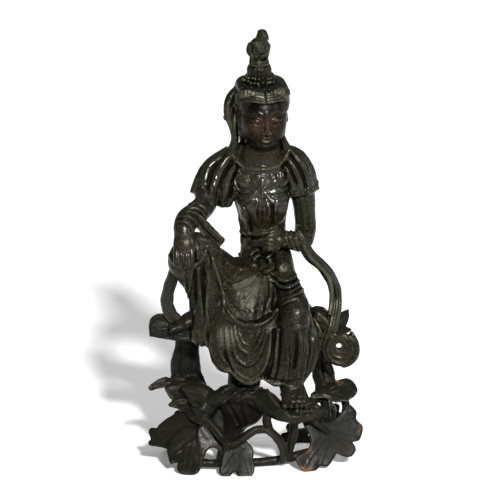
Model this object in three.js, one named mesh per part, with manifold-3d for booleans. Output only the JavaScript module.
// A cast bronze Guanyin, seated at royal ease with one foot hanging, on a carved wood stand:
// a leaf-shaped seat on two posts, over an openwork foot of vines, root and lobed leaves.
// Millimetres, +Z up. The figure faces -Y, and its raised knee is on the -X side.
import * as THREE from "three";
import { mergeVertices } from "three/addons/utils/BufferGeometryUtils.js";
import Module from "manifold-3d";

const wasm = await Module();
wasm.setup();

// Driving sizes
const FIGURE_HEIGHT = 263; // sole of the hanging foot to the top of the crown
const SEAT_TOP = 94; // above the table
const SEAT_LENGTH = 136;
const SEAT_DEPTH = 68;
const SEAT_THICKNESS = 8;
const STAND_LENGTH = 150;
const STAND_DEPTH = 92;
const VINE_RADIUS = 3.1;
const LEAF_THICKNESS = 3.6;
const SCARF_WIDTH = 8.6;
const SCARF_THICKNESS = 4.4;
const FIT_GAP = 0.3; // all round, where the bronze meets the wood
const FOOT_FLAT = 0.8; // what is planed off the lowest points, so that the stand sits flat

// The figure is drawn in parts of its height, with the seat at 94 of them.
const FIGURE_PARTS = 263;
const DRAWN_SEAT = 94;
const part = FIGURE_HEIGHT / FIGURE_PARTS;

// The stand is drawn at one size, and stretched to its own length, depth and seat height.
const DRAWN_LENGTH = 150;
const DRAWN_DEPTH = 92;
const along = STAND_LENGTH / DRAWN_LENGTH;
const across = STAND_DEPTH / DRAWN_DEPTH;
const rise = SEAT_TOP / DRAWN_SEAT;

// The drapery is laid out on a view from this far above the front.
const VIEW_TILT = THREE.MathUtils.degToRad(14);

const AXIS_X = new THREE.Vector3(1, 0, 0);
const AXIS_Y = new THREE.Vector3(0, 1, 0);
const BRONZE = new THREE.MeshStandardMaterial({ color: 0x2e2822, roughness: 0.42, metalness: 0.75 });
const DARK_WOOD = new THREE.MeshStandardMaterial({ color: 0x1f1b17, roughness: 0.5, metalness: 0 });

function solidOf(geometry) {
  const bare = geometry.clone();
  bare.deleteAttribute("normal");
  bare.deleteAttribute("uv");
  const merged = mergeVertices(bare, 1e-4);
  return new wasm.Manifold(
    new wasm.Mesh({
      numProp: 3,
      vertProperties: merged.attributes.position.array,
      triVerts: new Uint32Array(merged.index.array),
    }),
  );
}

function geometryOf(solid) {
  const mesh = solid.getMesh();
  const geometry = new THREE.BufferGeometry();
  geometry.setAttribute("position", new THREE.BufferAttribute(mesh.vertProperties, 3));
  geometry.setIndex(new THREE.BufferAttribute(mesh.triVerts, 1));
  return geometry;
}

const union = (solids) => solids.reduce((whole, solid) => whole.add(solid));

// A limb: a sphere's rings drawn out along a smooth path. Each station is [x, y, z, a, b]:
// a is the half width towards "wide", and b the half width across it.
function limb(stations, { sides = 8, steps = 2, wide = AXIS_X, carve = () => 1, cap = 0.5 } = {}) {
  const centre = new THREE.CatmullRomCurve3(stations.map(([x, y, z]) => new THREE.Vector3(x, y, z)));
  const girth = new THREE.CatmullRomCurve3(
    stations.map(([, , , a, b = a]) => new THREE.Vector3(a, b, 0)),
  );
  const last = (stations.length - 1) * steps;
  const ball = new THREE.SphereGeometry(1, sides, last + 2);
  const position = ball.attributes.position;
  for (let i = 0; i < position.count; i++) {
    const row = Math.floor(i / (sides + 1));
    const turn = (2 * Math.PI * (i % (sides + 1) % sides)) / sides;
    const t = THREE.MathUtils.clamp((row - 1) / last, 0, 1);
    const middle = centre.getPoint(t);
    const size = girth.getPoint(t);
    const tangent = centre.getTangent(t);
    const side = wide.clone().addScaledVector(tangent, -wide.dot(tangent)).normalize();
    const over = tangent.clone().cross(side);
    if (row === 0 || row === last + 2) {
      middle.addScaledVector(tangent, (row ? 1 : -1) * cap * Math.min(size.x, size.y));
    } else {
      const reach = carve(t, turn);
      middle.addScaledVector(side, -Math.cos(turn) * size.x * reach);
      middle.addScaledVector(over, Math.sin(turn) * size.y * reach);
    }
    position.setXYZ(i, middle.x, middle.y, middle.z);
  }
  return solidOf(ball);
}

// A blob: an ellipsoid, shaped by a function of the direction from its middle.
function blob([x, y, z], [rx, ry, rz], { around = 14, down = 10, shape = () => 1 } = {}) {
  const ball = new THREE.SphereGeometry(1, around, down).rotateX(Math.PI / 2);
  const position = ball.attributes.position;
  for (let i = 0; i < position.count; i++) {
    const way = new THREE.Vector3().fromBufferAttribute(position, i);
    const reach = shape(way);
    position.setXYZ(i, x + way.x * rx * reach, y + way.y * ry * reach, z + way.z * rz * reach);
  }
  return solidOf(ball);
}

// A thick leaf, blade or lappet: a flattened sphere with an outline, domed or dished.
// "tip" is the way that it points and "face" the way that its upper side looks.
function blade(at, options) {
  const { tip, face, length, width, thick, around, rings, outline, dome = () => 0 } = options;
  const middle = new THREE.Vector3(...at);
  const out = new THREE.Vector3(...face).normalize();
  const ahead = new THREE.Vector3(...tip);
  ahead.addScaledVector(out, -ahead.dot(out)).normalize();
  const aside = out.clone().cross(ahead);
  const rows = 2 * rings;
  const ball = new THREE.SphereGeometry(1, around, rows);
  const position = ball.attributes.position;
  for (let i = 0; i < position.count; i++) {
    const row = Math.floor(i / (around + 1));
    const turn = (2 * Math.PI * (i % (around + 1) % around)) / around;
    const spread = 1 - Math.abs(1 - row / rings);
    const half = (thick / 2) * Math.sqrt(1 - 0.9 * spread * spread) * Math.sign(rings - row);
    const reach = spread * outline(turn);
    const lift = dome(spread, turn) + half;
    const p = middle
      .clone()
      .addScaledVector(ahead, reach * Math.cos(turn) * length)
      .addScaledVector(aside, reach * Math.sin(turn) * width)
      .addScaledVector(out, lift);
    position.setXYZ(i, p.x, p.y, p.z);
  }
  return solidOf(ball);
}

// Figure coordinates to millimetres
const drawn = ([x, y, z, ...radii]) => [
  x * part,
  y * part,
  SEAT_TOP + (z - DRAWN_SEAT) * part,
  ...radii.map((r) => r * part),
];
const figureLimb = (stations, options) => limb(stations.map(drawn), options);
const figureBlob = (at, radii, options) => blob(drawn(at), radii.map((r) => r * part), options);

// A fold laid on the front of a solid: [u, w, r] are across, up and half thickness, as seen in
// the tilted view.
function fold(body, strokes, { sides = 3, steps = 1, sink = 0.25 } = {}) {
  const ray = new THREE.Raycaster();
  const mesh = new THREE.Mesh(body, new THREE.MeshBasicMaterial({ side: THREE.DoubleSide }));
  const ahead = new THREE.Vector3(0, Math.cos(VIEW_TILT), -Math.sin(VIEW_TILT));
  const up = new THREE.Vector3(0, Math.sin(VIEW_TILT), Math.cos(VIEW_TILT));
  const line = new THREE.CatmullRomCurve3(strokes.map(([u, w, r]) => new THREE.Vector3(u, w, r)));
  const count = (strokes.length - 1) * steps + 1;
  const seatUp = (SEAT_TOP - DRAWN_SEAT * part) * Math.cos(VIEW_TILT);
  const stations = [];
  for (const { x: u, y: w, z: r } of line.getPoints(count - 1)) {
    const from = up
      .clone()
      .multiplyScalar(w * part + seatUp)
      .addScaledVector(AXIS_X, u * part)
      .addScaledVector(ahead, -400);
    ray.set(from, ahead);
    const hit = ray.intersectObject(mesh)[0];
    if (!hit) continue;
    const p = hit.point.addScaledVector(ahead, sink * r * part);
    stations.push([p.x, p.y, p.z, r * part]);
  }
  return limb(stations, { sides, steps: 1, wide: AXIS_X.clone().add(up), cap: 0.3 });
}

// The head, drawn about its own middle facing -Y, then bowed, turned and set on the neck
const HEAD_AT = [4.5, -5, 250.5];
const HEAD_BOW = THREE.MathUtils.degToRad(8);
const HEAD_TURN = THREE.MathUtils.degToRad(10);
const FACE = { middle: [0, -4.4, -4.4], radii: [15.4, 15, 22.4] };

// The point of the face over x and z, raised by "lift"
function onFace(x, z, lift = 0) {
  const [, cy, cz] = FACE.middle;
  const [rx, ry, rz] = FACE.radii;
  const rest = 1 - (x / rx) ** 2 - ((z - cz) / rz) ** 2;
  return [x, cy - ry * Math.sqrt(Math.max(0, rest)) - lift, z];
}

function head() {
  const squared = (way) => Math.pow(
    Math.abs(way.x) ** 3 + Math.abs(way.y) ** 3 + Math.abs(way.z) ** 3,
    -1 / 3,
  );
  const lips = { sides: 4, steps: 1, wide: AXIS_Y };
  const pieces = [
    blob(FACE.middle, FACE.radii, { around: 11, down: 7 }),
    blob([-1, 6.4, 1], [20.4, 17.6, 23], { around: 10, down: 6, shape: squared }),
    limb([-80, -40, 0, 40, 80].map((turn) => {
      const aim = THREE.MathUtils.degToRad(turn);
      return [18 * Math.sin(aim) - 0.6, 3 - 15.6 * Math.cos(aim), 13.4 + 1.6 * Math.cos(aim), 2, 2.8];
    }), { sides: 5, steps: 1, wide: AXIS_Y }),
    limb(
      [[...onFace(0, 4, -0.4), 1.2], [...onFace(0, -4, 1), 1.8], [...onFace(0, -9.6, 1.8), 2.6]],
      { sides: 5, steps: 1 },
    ),
    limb(
      [
        [...onFace(-4, -16.4, -0.4), 1.1], [...onFace(0, -16, 0.4), 1.7],
        [...onFace(4, -16.4, -0.4), 1.1],
      ],
      lips,
    ),
    ...[-1, 1].map((side) => blob(onFace(side * 6.4, -0.6, -0.8), [4, 2, 2.2], { around: 6, down: 4 })),
  ];
  const local = geometryOf(union(pieces)).rotateX(HEAD_BOW).rotateZ(HEAD_TURN);
  return solidOf(local.scale(part, part, part).translate(...drawn(HEAD_AT)));
}

// The tall topknot, with a small seated Buddha before it
function crown() {
  return union([
    figureLimb(
      [
        [2.4, -1, 269, 16, 15], [2.3, -2, 274.4, 11.6, 11], [2.1, -3, 278, 8.6, 8.4],
        [2.1, -3, 282, 8.2, 8], [1.9, -3, 286, 6.4, 6], [1.8, -3.4, 290.6, 7.2, 6.8],
        [1.9, -3.4, 296, 7.2, 5.8], [3, -3.8, 300.4, 5, 4.2],
      ],
      { sides: 10, steps: 1 },
    ),
    figureLimb([[7, -7.2, 294.2, 2], [2.2, -10, 291.4, 2], [-2.6, -7.2, 294, 2]], { sides: 4, steps: 1 }),
    figureLimb(
      [
        [3.6, -4.2, 299.4, 3.6, 3.2], [4.4, -4.4, 303.6, 5.2, 5], [4.3, -4, 307.8, 3.2, 3],
        [4.2, -4, 310, 2.2, 2.2],
      ],
      { sides: 8, steps: 1 },
    ),
  ]);
}

// Neck, shoulders and the long slim trunk
function trunk() {
  return union([
    figureLimb(
      [
        [5, 7, 118, 22, 15], [5.4, 5, 134, 17.6, 12], [5.4, 4.4, 150, 16.6, 11.4],
        [4.8, 4, 168, 16.2, 11.4], [4.2, 3.6, 184, 19.4, 12.4], [3.6, 3.4, 197, 22, 13.4],
        [3.8, 4, 208, 17, 11], [4, 3.6, 214, 11, 9],
      ],
      { sides: 8, steps: 1 },
    ),
    figureLimb(
      [[4, 3.4, 206, 19, 10.8], [4.2, 1, 217, 14, 10], [4.5, -2, 234, 10.4]],
      { sides: 8, steps: 1 },
    ),
    figureLimb(
      [
        [-28, 5, 199, 9.5], [-15, 4.6, 207, 9.5], [4, 4.4, 208, 9.5], [20, 4.6, 207, 9.5],
        [29, 5, 199.6, 9.5],
      ],
      { sides: 6, steps: 1, wide: AXIS_Y },
    ),
  ]);
}

// Long hair behind the head, and beside each cheek an ear with its lock
function locks() {
  const strands = (t, turn) => 1 + 0.06 * Math.cos(5 * turn);
  return union([
    figureLimb(
      [
        [3, 9, 264, 13, 8], [3, 13, 246, 15.5, 7], [3.4, 14, 228, 15, 5.6], [4, 13, 210, 17, 5],
        [4, 13, 192, 13, 4], [4, 12, 180, 7, 3.4],
      ],
      { sides: 10, steps: 1, carve: strands },
    ),
    figureLimb(
      [
        [-13, 3, 264, 4.4, 5], [-18.4, 1, 258, 4.4, 6], [-18, 0.4, 249, 4, 6],
        [-15.6, 0, 238, 3.4, 4.6], [-14.8, -1, 231, 3, 3.8], [-16.6, 1, 221, 4, 5],
        [-21, 3, 211, 4.8, 5],
      ],
      { sides: 6, steps: 1 },
    ),
    figureLimb(
      [
        [20, 3, 261, 2.6, 4], [20.4, 2.2, 254, 2.6, 4.4], [18.6, 1.6, 242, 2.2, 4],
        [17.8, 1, 234, 2.2, 4], [21, 3.4, 222, 3.6, 5], [25, 5, 212, 4.2, 5],
      ],
      { sides: 6, steps: 1 },
    ),
  ]);
}

function hand(palm, fingers, thumb) {
  const finger = (joints) => figureLimb(joints, { sides: 4, steps: 1, cap: 0.8 });
  return union([figureLimb(palm, { sides: 6, steps: 1 }), ...fingers.map(finger), finger(thumb)]);
}

// A ring round a sleeve, or a bangle: from one place to the next, with one radius
function cuff(from, to, radius) {
  return figureLimb([[...from, radius], [...to, radius]], { sides: 7, steps: 1, cap: 0.1 });
}

// The arm that rests on the raised knee, with its gathered sleeve and its hanging hand
function restingArm() {
  const fingers = [-5.4, -1.8, 1.8, 5.2].map((x, i) => {
    const length = [15, 17, 17, 15][i];
    return [
      [x - 49.4, -46, 165, 2.2], [x - 49.2, -49.4, 165 - length * 0.55, 2],
      [x - 49, -48.4, 165 - length, 1.6],
    ];
  });
  return union([
    figureLimb(
      [
        [-29, 4, 201, 9.6], [-34, -2, 194, 9], [-34.8, -12, 188, 8.4], [-40.4, -24, 183.4, 8.8],
        [-47.6, -34, 180, 8.6], [-50, -40, 175, 7.8], [-50, -43, 170, 6.6],
      ],
      { sides: 8, steps: 1 },
    ),
    cuff([-41.6, -26, 183], [-43.2, -28.6, 182], 10.2),
    cuff([-46.6, -32, 180.6], [-47.6, -34.4, 179.4], 10.2),
    hand(
      [[-50, -42, 172, 6.6, 5], [-49.6, -44.6, 167, 7.8, 4.4], [-49.4, -45.6, 163, 7.4, 3.6]],
      fingers,
      [[-43.6, -42, 168, 2.4], [-40.6, -43.4, 161, 2], [-41, -44, 155, 1.6]],
    ),
  ]);
}

// The arm that bends in to hold the sash before the waist
function bentArm() {
  const fingers = [0, 1, 2, 3].map((i) => {
    const z = 167 - 3.2 * i;
    return [[13, -22.6, z, 2.2], [7, -25.6, z - 1, 2]];
  });
  return union([
    figureLimb(
      [
        [29, 4.6, 202, 9.4], [33, 6, 188, 8.8], [34.2, 6, 175, 7.6], [34.4, 5.4, 164, 7.6],
        [31.6, -5, 158, 7.4], [25, -13, 160.4, 6.6], [18.6, -18.4, 163.6, 5],
      ],
      { sides: 8, steps: 1 },
    ),
    cuff([28, -9, 158.8], [26.6, -10.8, 159.6], 8.2),
    hand(
      [[19.4, -18, 163.4, 5, 4.4], [14.4, -21, 163.8, 6.2, 4], [10.4, -22.6, 163, 5.4, 3.4]],
      fingers,
      [[16, -21.4, 168, 2], [12, -24, 171.4, 1.9], [8.4, -25, 171, 1.6]],
    ),
  ]);
}

// The short cape: a lappet over each upper arm and one at the breast, with flared and scalloped hems
function cape() {
  const scallops = (t, turn) => 1 + 0.07 * t * Math.cos(5 * turn);
  const options = { sides: 10, steps: 1, carve: scallops, cap: 0.1 };
  return union([
    figureLimb(
      [
        [-11, 5, 214, 9.5, 9], [-21, 5, 210.2, 10.4, 11], [-28.4, 4, 203, 11.2, 12],
        [-33.6, 1.4, 195, 11.2, 12.4], [-35.2, 0, 189.8, 11.6, 12.6],
      ],
      options,
    ),
    figureLimb(
      [
        [-21, 2, 203, 9, 7], [-22.6, 0, 195, 9, 6.4], [-24, -1, 187, 8.2, 5],
        [-24.4, -1.4, 182.4, 7, 4.4],
      ],
      options,
    ),
    figureLimb(
      [
        [15, 5, 215, 10.5, 9], [22.6, 5, 211.4, 12.8, 11], [28.6, 4.6, 203.6, 12.8, 12],
        [31.2, 4.8, 196, 12, 12.4], [31.8, 5, 191.4, 12.2, 12.8],
      ],
      options,
    ),
  ]);
}

// Hips, thighs and shins, under the skirt
function legs() {
  const round = { sides: 8, steps: 1 };
  return union([
    figureBlob([5, 10, 108], [32, 22, 19], { around: 10, down: 5 }),
    figureLimb(
      [
        [-4, 6, 116, 16], [-20, -6, 130, 16.4, 15.6], [-34, -19, 145, 14.6], [-46, -29, 154.4, 13.8],
        [-49, -31.6, 150, 12.8], [-46, -29.6, 141, 10.4], [-40.8, -24, 127, 8.2], [-39.8, -16, 105, 6.8],
      ],
      round,
    ),
    figureLimb(
      [
        [18, -8, 118, 15.6], [25, -28, 118.6, 12], [27.3, -38.6, 115.6, 11], [27, -41, 108, 11],
        [26, -40, 92, 9.6],
      ],
      round,
    ),
    figureLimb(
      [[13, 2, 157, 7.6, 7], [16, -3, 147, 9, 9.2], [18.4, -12, 134, 10, 10.8], [23, -22, 124, 10.2]],
      round,
    ),
  ]);
}

// A bare foot: its sole, and five toes set out along "aside" before the ball
function foot(stations, aside, ahead) {
  const tip = stations[stations.length - 1];
  const toes = [-2, -1, 0, 1, 2].map((k) => {
    const size = k === -2 ? 2.4 : 1.8;
    const root = tip.slice(0, 3).map((v, i) => v + 0.42 * k * tip[3] * aside[i]);
    const end = root.map((v, i) => v + (3.6 - 0.5 * Math.abs(k + 1)) * ahead[i]);
    return figureLimb([[...root, size], [...end, size]], { sides: 3, steps: 1, cap: 0.9 });
  });
  return union(
    [figureLimb(stations, { sides: 8, steps: 1, wide: new THREE.Vector3(...aside) }), ...toes],
  );
}

function feet() {
  return union([
    foot(
      [[-38, -14, 103, 7, 7], [-45, -18, 104, 7, 7], [-52, -22, 102, 6.4, 4.8], [-56, -24, 101, 6, 3.6]],
      [0.4, -0.92, 0],
      [-0.88, -0.4, -0.25],
    ),
    foot(
      [
        [23, -36, 78, 8.4, 8], [24, -33.4, 62, 7.6, 7], [26, -37, 55.4, 8, 6.4],
        [27.2, -44, 52, 9, 4.8], [27.6, -47, 51, 9.2, 3.6],
      ],
      [1, 0, 0],
      [0, -1, -0.1],
    ),
  ]);
}

// The skirt: a lap, a curtain of pleats before the seat, a fall from the raised knee, and the
// cloth on the seat
function skirt() {
  const pleats = (count, depth) => (t, turn) => 1 + depth * Math.min(1, 2 * t) * Math.cos(count * turn);
  const lap = { sides: 9, steps: 1 };
  return union([
    figureLimb(
      [
        [5, 0, 142, 16.4, 12], [1, -9, 129, 25, 17], [-5, -17, 114, 34, 21], [-4, -21, 98, 33, 20],
        [4, -24, 88, 30, 16],
      ],
      lap,
    ),
    figureLimb(
      [
        [6, -20, 110, 32, 16], [6, -28, 97, 38, 17.4], [6, -30, 84, 38, 15.4],
        [6.6, -31, 71, 33.4, 13.4], [7, -31, 62.4, 28, 12], [7, -30.4, 58, 24.6, 10.6],
      ],
      { sides: 20, steps: 1, carve: pleats(10, 0.05), cap: 0.06 },
    ),
    figureLimb(
      [
        [-33, -26, 152, 10, 8], [-33, -26, 136, 9.6, 8.4], [-33.4, -25, 116, 9.6, 9],
        [-36, -23, 100, 9.6, 8], [-38.6, -22, 90.4, 7.6, 6],
      ],
      { sides: 10, steps: 1, carve: pleats(5, 0.08) },
    ),
    figureLimb(
      [
        [39, 0, 103.6, 9, 11], [41, -2.6, 100, 12, 15], [41.8, -3, 95, 12, 15.6],
        [41.8, -3.2, 91, 9, 12],
      ],
      { sides: 8, steps: 1, carve: pleats(4, 0.06), cap: 0.25 },
    ),
    figureLimb(
      [[4.6, 12, 126, 19, 12], [4.2, 17, 114, 27, 16], [4, 18, 104, 35, 20], [4, 17, 92, 39, 24]],
      { sides: 14, steps: 1, carve: pleats(7, 0.04), cap: 0.06 },
    ),
  ]);
}

// The scarf: a loop each side, a curl that ends one loop, and a loose end at the wrist
function scarf() {
  const a = SCARF_WIDTH / 2 / part;
  const b = SCARF_THICKNESS / 2 / part;
  const band = (points) => figureLimb(
    points.map(([x, y, z, k = 1]) => [x, y, z, a * k, b]),
    { sides: 6, steps: 1 },
  );
  return union([
    band(
      [
        [-47, -30, 160], [-53, -34, 152], [-57.8, -30, 139], [-61, -26, 128], [-62.3, -22, 117.3],
        [-59.6, -21, 109.6], [-54.8, -21, 104.4],
      ],
    ),
    band([[-46.2, -34, 184], [-39.2, -35, 179], [-31.4, -32.4, 170.6], [-25, -30, 163.2]]),
    band(
      [
        [28, -14, 166], [32.4, -15, 158.6], [37.4, -15, 149.6], [46.2, -12, 141.5], [53.2, -7, 129.8],
        [55.9, -8, 118.2], [54.6, -12, 106.2], [52.2, -15, 95.2], [49.6, -15, 87.4, 1.3],
        [47.6, -14, 81.6, 0.9],
      ],
    ),
    curl(),
  ]);
}

// The flat curl at the loop's end: a disc with a hole and a raised turn, drawn out to a point
function curl() {
  const [x, y, z] = [59.6, -15, 82];
  const [hole, rim] = [2, 11.6];
  const thick = SCARF_THICKNESS / part;
  const profile = [
    [hole, -thick / 2], [rim, -thick / 2], [rim + 0.8, 0], [rim, thick / 2], [hole, thick / 2],
    [hole, -thick / 2],
  ];
  const disc = new THREE.LatheGeometry(
    profile.map(([r, h]) => new THREE.Vector2(r * part, h * part)),
    16,
  );
  const turns = [];
  for (let i = 0; i <= 8; i++) {
    const turn = THREE.MathUtils.degToRad(190 + 52 * i);
    const radius = 4.6 + 0.96 * i;
    turns.push([x + radius * Math.cos(turn), y - thick / 2, z + radius * Math.sin(turn), 1.7, 1.3]);
  }
  const last = turns[turns.length - 1];
  turns.push([last[0] - 0.8, y - 1, last[2] + 6, 1.6, 1.2]);
  return union([
    solidOf(disc.translate(...drawn([x, y, z]))),
    figureLimb(turns, { sides: 4, steps: 1, wide: AXIS_Y }),
  ]);
}

// The main folds, the sash and the two medallions of the front, laid on the body by the view
function ornaments(body) {
  const lapFolds = [
    [[-30, 117, 1.2], [-27, 103, 1.6], [-17, 92.4, 1.8], [-4, 88.4, 1.9], [7, 91, 1.7], [14.7, 98, 1.2]],
    [[-21.7, 84, 1], [-17, 73, 1.6], [-8, 66, 1.7], [2, 68, 1.6], [8, 78, 1]],
  ];
  const pleats = [
    [[15, 92, 1.5], [11.6, 75, 1.8], [5, 60, 1.8], [0, 52, 1.4]],
    [[29, 82, 1.5], [29, 66, 1.8], [26.6, 54, 1.5]],
    [[-38, 138, 1.4], [-35.6, 112, 1.8], [-37, 84, 1.4]],
  ];
  const sashEnds = [
    [[8.4, 129, 1.9], [6, 112, 2.2], [0.6, 97.4, 1.7]],
    [[12, 128, 1.9], [13.6, 116, 2.2], [12, 106, 1.8]],
  ];
  const bow = [
    [[-4, 136, 2.3], [3, 141, 2.6], [10, 146, 2.2]],
    [[6, 131, 2.6], [11, 135, 3.4]],
  ];
  const medallions = [[-9.2, 192.4, 6.2, 8.4], [11.8, 193, 7, 9.4]].map(([u, w, half, tall]) =>
    fold(
      body,
      [[u, w + tall * 0.6, half * 0.8], [u, w, half], [u, w - tall * 0.6, half * 0.7]],
      { sides: 6, sink: 0.74 },
    ),
  );
  const strokes = [...lapFolds, ...pleats, ...sashEnds, ...bow];
  return union([...strokes.map((stroke) => fold(body, stroke)), ...medallions]);
}

// Stand coordinates to millimetres
const carved = ([x, y, z, ...radii]) => [x * along, y * across, z * rise, ...radii];

// Every piece of wood is drawn by these, fatter by "grow" where the wood is used to cut the bronze.
function woodKit(grow) {
  const stem = (points, radius = VINE_RADIUS, options = {}) =>
    limb(
      points.map(carved).map(([x, y, z, a = radius, b = a]) => [x, y, z, a + grow, b + grow]),
      { sides: 5, steps: 1, ...options },
    );
  const leaf = (at, options) =>
    blade(carved(at), {
      thick: LEAF_THICKNESS + 2 * grow,
      around: 15,
      rings: 2,
      ...options,
      length: options.length + grow,
      width: options.width + grow,
    });
  return { stem, leaf };
}

const lobed = (lobes, depth, phase = 0) => (turn) =>
  1 - depth + depth * Math.pow(Math.abs(Math.cos((lobes * turn) / 2 + phase)), 0.7);
const drooping = (drop, veins = 5) => (spread, turn) =>
  -drop * spread * spread + 0.6 * spread * (1 - spread) * Math.cos(2 * veins * turn);

// The seat: a broad leaf, notched at its front, with one end rolled up and the other drawn up to a tip
function seat({ stem, leaf }, grow) {
  const notched = (turn) => 1 - 0.42 * Math.exp(
    -Math.pow((turn - 1.5 * Math.PI) / 0.75, 2),
  ) + 0.05 * Math.cos(4 * turn);
  const slab = blade([-4 * along, 6 * across, SEAT_TOP - SEAT_THICKNESS / 2], {
    tip: [1, 0, 0],
    face: [0, 0, 1],
    length: SEAT_LENGTH / 2 + grow,
    width: SEAT_DEPTH / 2 + grow,
    thick: SEAT_THICKNESS + 2 * grow,
    outline: notched,
    around: 24,
    rings: 2,
  });
  const end = (SEAT_LENGTH / 2 + 4) / along;
  const half = SEAT_DEPTH / 2 / across;
  const top = DRAWN_SEAT;
  return [
    slab,
    stem(
      [
        [8 - end, 6 - 0.59 * half, top - 3, 3, 3], [1 - end, 6 - 0.26 * half, top + 0.2, 5, 5],
        [1 - end, 6 + 0.12 * half, top + 0.8, 5, 5], [8 - end, 6 + 0.47 * half, top - 2, 3, 3],
      ],
      4,
      { wide: AXIS_Y },
    ),
        stem(
      [
        [6 - end, 6 - 0.7 * half, top - 4, 2.6, 2.6], [0.4 - end, 6 - 0.4 * half, top - 3, 2.8, 2.8],
        [-1 - end, 6 - 0.1 * half, top - 3, 2.8, 2.8], [1 - end, 6 + 0.3 * half, top - 3, 2.6, 2.6],
      ],
      4,
      { wide: AXIS_Y },
    ),
    leaf(
      [end - 11, 7, top + 2],
      {
        tip: [0.5, 0, 1],
        face: [-0.4, -1, 0.2],
        length: 12,
        width: 7.6,
        around: 10,
        outline: (turn) => 1 - 0.3 * Math.abs(Math.sin(turn / 2)),
      },
    ),
  ];
}

function posts({ stem }) {
  const flat = { sides: 6, steps: 1 };
  return [
    stem(
      [
        [-47.6, 12, 91, 8.6, 6], [-48.8, 12, 76, 9.2, 6], [-49.4, 12, 63, 11, 6.5],
        [-49, 11, 54, 11, 6.5], [-44, 6, 45, 11, 8], [-40, -4, 38, 9, 9],
      ],
      8,
      flat,
    ),
    stem(
      [
        [45.6, 14, 91, 7, 6], [46.2, 14, 66, 6.4, 6], [48, 13, 56, 8.6, 6.4], [49.6, 10, 48, 8, 6.4],
        [47.6, 2, 40, 8, 7],
      ],
      8,
      flat,
    ),
    stem(
      [
        [-12, 24, 91, 8, 6], [-14, 27, 70, 5.6, 5], [-14, 28, 44, 6, 5], [-15, 27, 22, 6, 6],
        [-16, 28, 2, 7, 7],
      ],
      8,
      flat,
    ),
  ];
}

// The root: a bole that rises from the ground and bends over into a ledge under the hanging foot
function root({ stem }) {
  const sole = SEAT_TOP - (DRAWN_SEAT - 48) * part;
  const ledge = sole / rise - 4.6;
  const round = { sides: 7, steps: 1 };
  return [
    stem(
      [
        [-9, -20, 47, 17, 11], [-11, -20, 38, 14.4, 11], [-15.4, -18, 28, 8.4, 10],
        [-18, -16, 15, 7.4, 9], [-19, -14, 2, 9, 10],
      ],
      12,
      round,
    ),
    stem(
      [
        [-36, -30, 36, 4.4, 4.4], [-30, -30, 46, 7, 6], [-19, -27, 53, 9, 7], [-4, -28, 52, 8, 7],
        [8, -35, 49, 8, 7.2], [18, -42, ledge, 9.6, 6], [28, -42, ledge - 0.8, 8.6, 5.4],
        [37, -36, ledge - 2.6, 6, 5], [46, -26, 39, 5, 5],
      ],
      8,
      { ...round, wide: AXIS_Y },
    ),
    stem(
      [[-47, 9, 47, 9, 8], [-42, -8, 49, 8, 7], [-37, -22, 46, 8, 7], [-36, -29, 41, 6, 6]],
      8,
      { ...round, wide: AXIS_Y },
    ),
    stem(
      [[-14, -36, 54], [2, -38, 52.4], [10, -44, 46], [20, -49, 40.6], [30, -46, 38]],
      1.8,
      { sides: 5, steps: 1 },
    ),
  ];
}

// Bare stems, front and back, in the openwork of the foot
function vines({ stem }) {
  const front = [
    [
      [-37, -30, 37], [-31.5, -36, 32.8], [-25, -43, 26.4], [-18, -47.4, 22], [-8.4, -48, 27.1],
      [0, -48, 32.4], [8, -46, 31.6], [16, -41.4, 23], [19.6, -36, 13.3], [18.4, -30, 5.3],
    ],
    [[-20, -46, 22.6], [-21.4, -44, 14], [-26, -40, 6.4], [-36, -39, 6]],
    [[-46, -43, 8], [-36, -38, 5.4], [-20, -34, 4.2], [0, -31, 4.1], [20, -26, 5.4], [40, -22, 9.8]],
    [[9.8, -36, 46], [7.4, -40, 39], [9.1, -45, 31.6]],
    [[22.4, -36, 42], [26.6, -33, 32], [25.2, -30, 19.8], [22, -27, 6]],
    [[58, -2, 48], [65, -3, 40, 3.8], [65, -10, 28, 3.8], [60, -20, 20]],
    [[48, 0, 44], [49, -8, 36], [51, -20, 26], [52, -28, 18]],
    [[30, -38, 42], [38, -36, 37], [50, -30, 25]],
    [[-44, -10, 44], [-46, -18, 34], [-48, -30, 22], [-48, -40, 14]],
  ];
  const back = [
    [[-14, -12, 40], [-30, -2, 41], [-45, 6, 44]],
    [[22, -36, 42], [34, -18, 42], [47, 4, 43]],
    [[47, 6, 42], [54, 20, 28], [52, 27, 12]],
    [[-45, 8, 44], [-51, 22, 28], [-42, 30, 10]],
    [[-14, 28, 36], [-24, 31, 30], [-38, 30, 14]],
    [[-38, 31, 5], [-62, 12, 6], [-62, -12, 14], [-56, -24, 23]],
    [[52, 27, 6], [64, 8, 6], [62, -10, 9], [54, -25, 15], [52, -30, 17]],
    [[-40, 31, 5], [-26, 31, 4.2], [-14, 29, 4.4]],
  ];
  const bud = stem(
    [[32, -39, 43.6, 3, 3], [37, -38, 44, 4.6, 4.4], [42, -35, 43, 4.4, 4], [46, -31, 41, 3, 3]],
    4,
    { sides: 6, cap: 0.8 },
  );
  return [...[...front, ...back].map((line) => stem(line)), bud];
}

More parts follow.
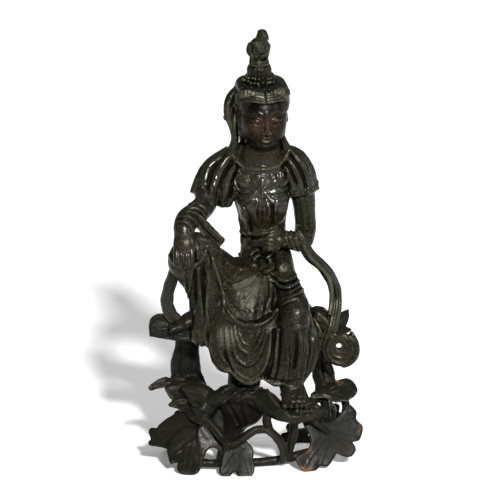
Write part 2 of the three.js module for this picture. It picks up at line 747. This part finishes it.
function leaves({ leaf }) {
  const big = { outline: lobed(5, 0.3), dome: drooping(4) };
  const blunt = { outline: lobed(5, 0.26), dome: drooping(3) };
  const slim = {
    outline: (turn) => 1 - 0.3 * Math.abs(Math.sin(turn / 2)),
    around: 12,
    dome: drooping(3, 2),
  };
  const rear = { ...big, around: 10 };
  return [
    leaf(
      [54, -26, 20],
      {
        ...big,
        outline: lobed(7, 0.24),
        around: 21,
        tip: [0.9, 0.1, -0.56],
        face: [0.3, -1, 0.5],
        length: 22.4,
        width: 23.4,
      },
    ),
    leaf([38, -35, 10], { ...big, tip: [-0.1, -0.3, -1], face: [0, -1, 0.4], length: 12, width: 14 }),
    leaf(
      [55.6, -3, 49],
      {
        ...slim,
        tip: [1, -0.1, -0.02],
        face: [0.1, -1, 0.9],
        length: 16,
        width: 12,
        dome: drooping(2, 3),
      },
    ),
    leaf(
      [-48, -42, 14.4],
      { ...blunt, tip: [0.1, -0.4, -1], face: [-0.1, -1, 0.45], length: 16.4, width: 16 },
    ),
    leaf(
      [-52, -24, 24],
      {
        ...big,
        outline: lobed(4, 0.16, Math.PI / 2),
        around: 16,
        tip: [-1, 0.35, -0.15],
        face: [-0.3, -0.8, 1],
        length: 25,
        width: 15,
      },
    ),
    leaf(
      [-13.6, -53, 12.4],
      {
        ...blunt,
        outline: lobed(5, 0.26, Math.PI / 2),
        tip: [0, -0.1, -1],
        face: [0, -1, 0.2],
        length: 15,
        width: 13.6,
      },
    ),
    leaf([-54, -6, 53], { ...slim, tip: [-1, 0, -0.06], face: [0, -0.8, 1], length: 23, width: 9 }),
    leaf([-46, -21, 47], { ...slim, tip: [-1, -0.1, -0.2], face: [0, -0.9, 1], length: 18, width: 9 }),
    leaf(
      [-36, -27, 47],
      { ...blunt, tip: [0.6, -0.4, -0.6], face: [0.1, -1, 0.7], length: 11, width: 12 },
    ),
    leaf([-40, 33, 18], { ...rear, tip: [-0.3, 0.2, -1], face: [-0.2, 1, 0.4], length: 18, width: 16 }),
    leaf([51, 29, 16], { ...rear, tip: [0.3, 0.2, -1], face: [0.2, 1, 0.4], length: 16, width: 14 }),
    leaf([-6, 32, 42], { ...rear, tip: [0, 0.3, -1], face: [0, 1, 0.4], length: 15, width: 15 }),
  ];
}

function standSolid(grow = 0) {
  const kit = woodKit(grow);
  const whole = union([...posts(kit), ...vines(kit), ...leaves(kit), ...seat(kit, grow), ...root(kit)]);
  const table = new THREE.BoxGeometry(4 * STAND_LENGTH, 4 * STAND_DEPTH, SEAT_TOP).translate(
    0,
    0,
    -SEAT_TOP / 2 + (grow ? -SEAT_TOP : FOOT_FLAT),
  );
  return whole.subtract(solidOf(table));
}

function figureSolid() {
  const body = union([trunk(), locks(), cape(), legs(), skirt(), feet(), restingArm(), bentArm()]);
  const dressed = union([body, ornaments(geometryOf(body)), head(), crown(), scarf()]);
  return dressed.subtract(standSolid(FIT_GAP));
}

function mesh(name, solid, material) {
  const made = new THREE.Mesh(geometryOf(solid), material);
  made.name = name;
  return made;
}

const guanyin = new THREE.Group();
guanyin.add(mesh("guanyin_figure", figureSolid(), BRONZE));
guanyin.add(mesh("leaf_stand", standSolid(), DARK_WOOD));

// The origin is under the middle of the whole, on the table.
const bounds = new THREE.Box3().setFromObject(guanyin);
const middle = bounds.getCenter(new THREE.Vector3());
guanyin.position.set(-middle.x, -middle.y, -bounds.min.z);

export default guanyin;
